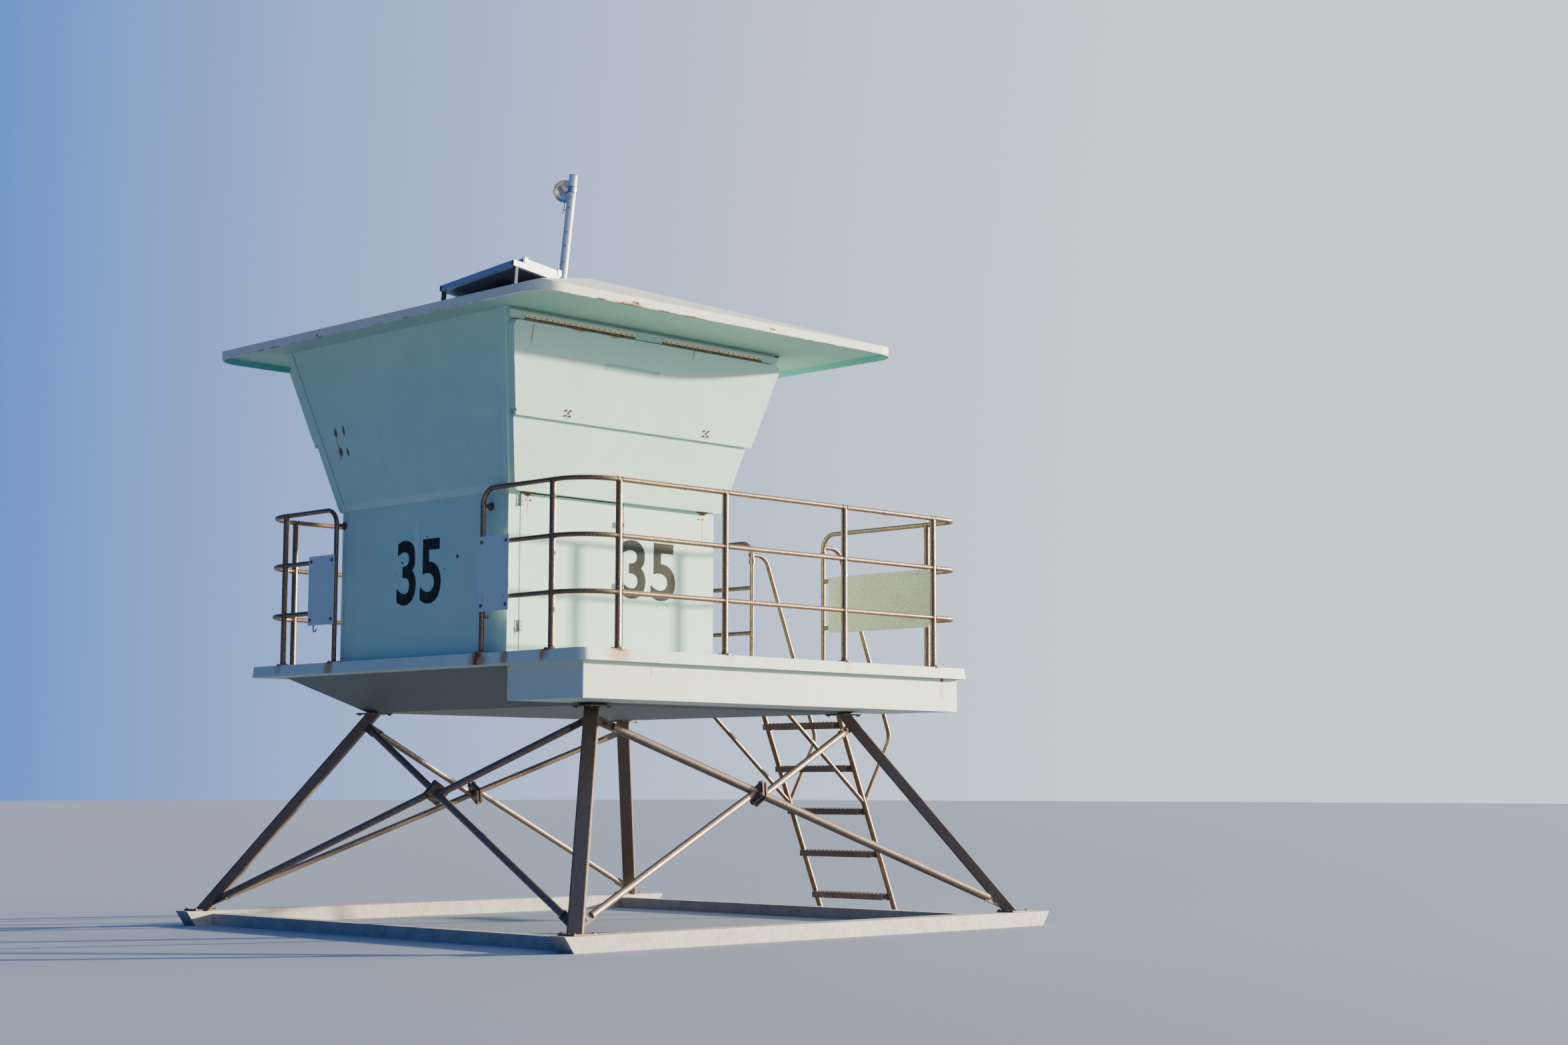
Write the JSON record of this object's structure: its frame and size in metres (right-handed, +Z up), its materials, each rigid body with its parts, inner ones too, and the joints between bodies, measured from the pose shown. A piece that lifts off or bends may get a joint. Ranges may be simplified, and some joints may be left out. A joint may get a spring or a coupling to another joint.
{
  "type": "lifeguard tower",
  "caption": "Raised beach lookout cabin with a flared body, hipped roof, railed deck and ladder, on splayed braced legs and a skid.",
  "frame": {"origin": "middle of the whole tower in plan, at ground level", "axes": "+Z up; -Y the closed back wall; +Y the ladder side; +X the door side"},
  "size_m": [4.25, 4.9435, 5.3336],
  "materials": {
    "galvanised_steel_dark": "weathered, dull",
    "skid_steel": "weathered paint",
    "galvanised_rail": "galvanised, weathered",
    "fittings_steel": "rust stained",
    "solar_glass": "glossy",
    "aluminium_channel": "dull",
    "sheet_grey": "satin",
    "board_white": "satin",
    "dish_plastic": "satin",
    "soffit_fibreglass": "satin",
    "roof_fibreglass": "satin, weathered",
    "deck_fibreglass": "satin, weathered",
    "wall_fibreglass": "satin, weathered"
  },
  "bodies": {
    "tower": {"braces_back": "galvanised_steel_dark", "braces_left": "galvanised_steel_dark", "braces_right": "galvanised_steel_dark", "deck": "deck_fibreglass", "dish": "dish_plastic", "door_hinges_wall_side": "fittings_steel", "hull": "deck_fibreglass", "ladder_hand_rails": "galvanised_rail", "ladder_stays": "galvanised_rail", "ladder_stringers": "galvanised_rail", "ladder_treads": "galvanised_rail", "leg_back_left": "galvanised_steel_dark", "leg_back_right": "galvanised_steel_dark", "leg_front_left": "galvanised_steel_dark", "leg_front_right": "galvanised_steel_dark", "lower_wall_back": "wall_fibreglass", "lower_wall_front": "wall_fibreglass", "lower_wall_left": "wall_fibreglass", "lower_wall_right_by_hinges": "wall_fibreglass", "lower_wall_right_by_latch": "wall_fibreglass", "mast": "galvanised_rail", "notice_boards": "board_white", "railing_back": "galvanised_rail", "railing_front": "galvanised_rail", "railing_left": "galvanised_rail", "railing_right": "galvanised_rail", "railing_sheet": "sheet_grey", "roof_shell": "roof_fibreglass", "shutter_front_lower": "wall_fibreglass", "shutter_front_upper": "wall_fibreglass", "shutter_headers": "wall_fibreglass", "shutter_hinge_strips": "fittings_steel", "shutter_left_lower": "wall_fibreglass", "shutter_left_upper": "wall_fibreglass", "shutter_right_lower": "wall_fibreglass", "shutter_right_upper": "wall_fibreglass", "side_box": "deck_fibreglass", "skid_cross_beams": "skid_steel", "skid_runners": "skid_steel", "soffit": "soffit_fibreglass", "solar_panel": "solar_glass", "solar_panel_rails": "aluminium_channel", "upper_wall_back": "wall_fibreglass", "upper_wall_front": "wall_fibreglass", "upper_wall_left": "wall_fibreglass", "upper_wall_right": "wall_fibreglass"},
    "door": {"door_leaf": "wall_fibreglass", "door_hinges_leaf_side": "fittings_steel", "door_latches": "fittings_steel"}
  },
  "joints": [
    {"name": "door_hinge", "type": "hinge", "parent": "tower", "child": "door", "pos_m": [0.956, -1.788, 1.829], "axis": [0, 0, 1], "range_deg": [-62, 0]}
  ]
}
